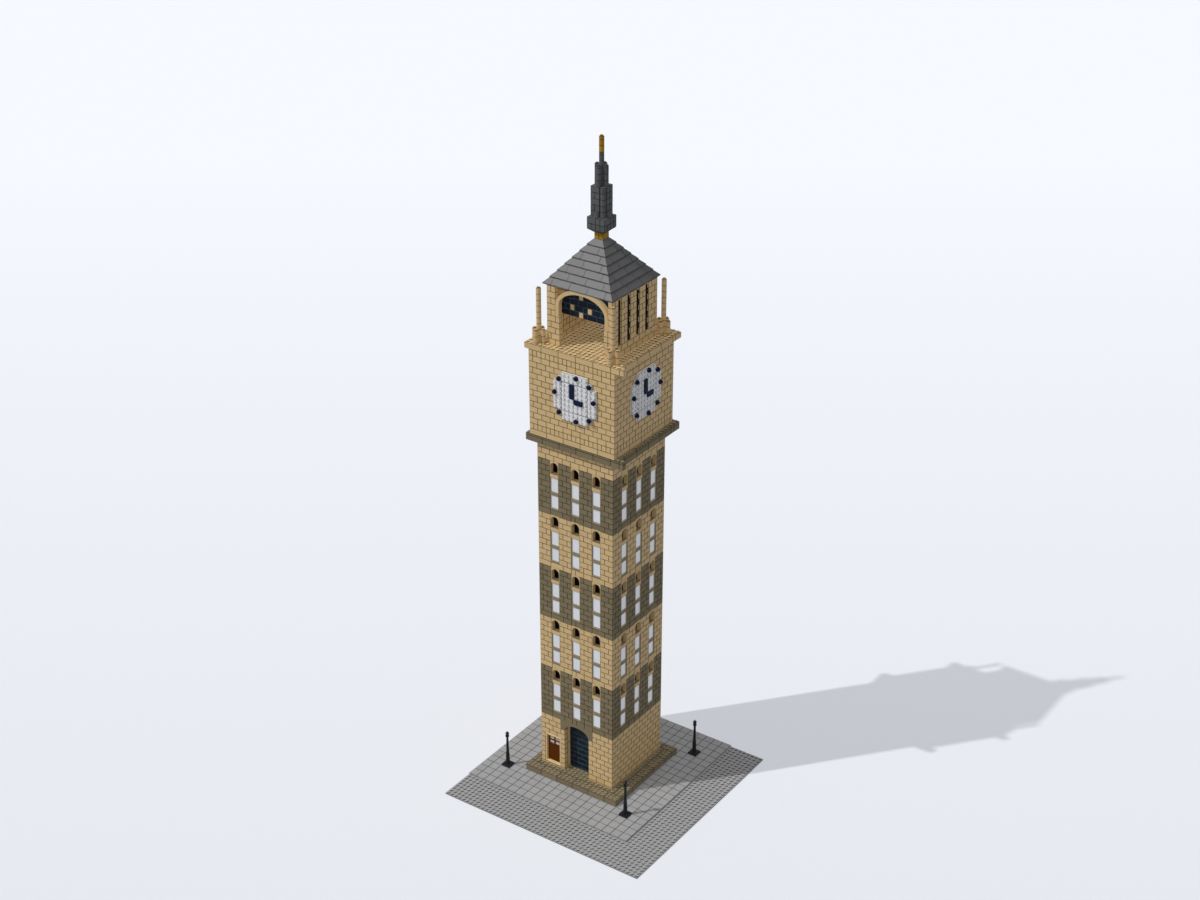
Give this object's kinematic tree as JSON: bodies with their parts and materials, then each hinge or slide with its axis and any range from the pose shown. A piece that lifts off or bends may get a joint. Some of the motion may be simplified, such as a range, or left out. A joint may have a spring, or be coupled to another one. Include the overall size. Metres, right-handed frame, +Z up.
{
  "type": "toy brick clock tower",
  "caption": "Toy brick clock tower on a square baseplate, with an opening door, an arched entrance, storeys of windows, four dials, an open belfry and a spire.",
  "frame": {"origin": "centre of the baseplate's underside", "axes": "+Z up; -Y towards the front with the door; +X to the right seen from the front"},
  "size_m": [0.384, 0.384, 1.112],
  "materials": {
    "tan_plastic": "moulded, satin gloss",
    "dark_tan_plastic": "moulded, satin gloss",
    "window_glass": "clear, pale blue behind",
    "navy_plastic": "moulded, gloss",
    "grey_plastic": "moulded, satin gloss",
    "light_grey_plastic": "moulded, gloss",
    "white_plastic": "moulded, gloss",
    "roof_grey_plastic": "finely grained slope",
    "dark_grey_plastic": "moulded, satin gloss",
    "gold_plastic": "moulded, pearl gold",
    "brown_plastic": "moulded, gloss",
    "black_plastic": "moulded, gloss"
  },
  "bodies": {
    "tower": {"band_walls": "tan_plastic", "baseplate": "grey_plastic", "belfry_arches": "tan_plastic", "belfry_corner_piers": "tan_plastic", "belfry_deck": "tan_plastic", "belfry_screens": "navy_plastic", "belfry_side_walls": "tan_plastic", "belfry_slit_strips": "navy_plastic", "clock_dials": "white_plastic", "clock_room_walls": "tan_plastic", "dial_marks": "navy_plastic", "door_frame": "tan_plastic", "entrance_arch": "dark_tan_plastic", "entrance_infill": "navy_plastic", "finial": "gold_plastic", "footing": "dark_tan_plastic", "ground_corner_pier": "tan_plastic", "ground_middle_pier": "tan_plastic", "ground_over_door": "tan_plastic", "ground_plain_walls": "tan_plastic", "ground_right_pier": "tan_plastic", "hour_hands": "navy_plastic", "lamp_posts": "black_plastic", "lower_cornice": "dark_tan_plastic", "minute_hands": "navy_plastic", "paving": "light_grey_plastic", "pinnacles": "tan_plastic", "plinth": "dark_tan_plastic", "roof": "roof_grey_plastic", "spire_base": "dark_grey_plastic", "spire_body": "dark_grey_plastic", "spire_columns": "dark_grey_plastic", "spire_neck": "gold_plastic", "storey_1_walls": "dark_tan_plastic", "storey_1_windows": "window_glass", "storey_2_walls": "tan_plastic", "storey_2_windows": "window_glass", "storey_3_walls": "dark_tan_plastic", "storey_3_windows": "window_glass", "storey_4_walls": "tan_plastic", "storey_4_windows": "window_glass", "storey_5_walls": "dark_tan_plastic", "storey_5_windows": "window_glass", "window_heads": "tan_plastic"},
    "door": {"door_leaf": "brown_plastic"}
  },
  "joints": [
    {"name": "door_hinge", "type": "hinge", "parent": "tower", "child": "door", "pos_m": [-0.091, -0.0344, 0.0476], "axis": [0, 0, -1], "range_deg": [0, 90]}
  ]
}
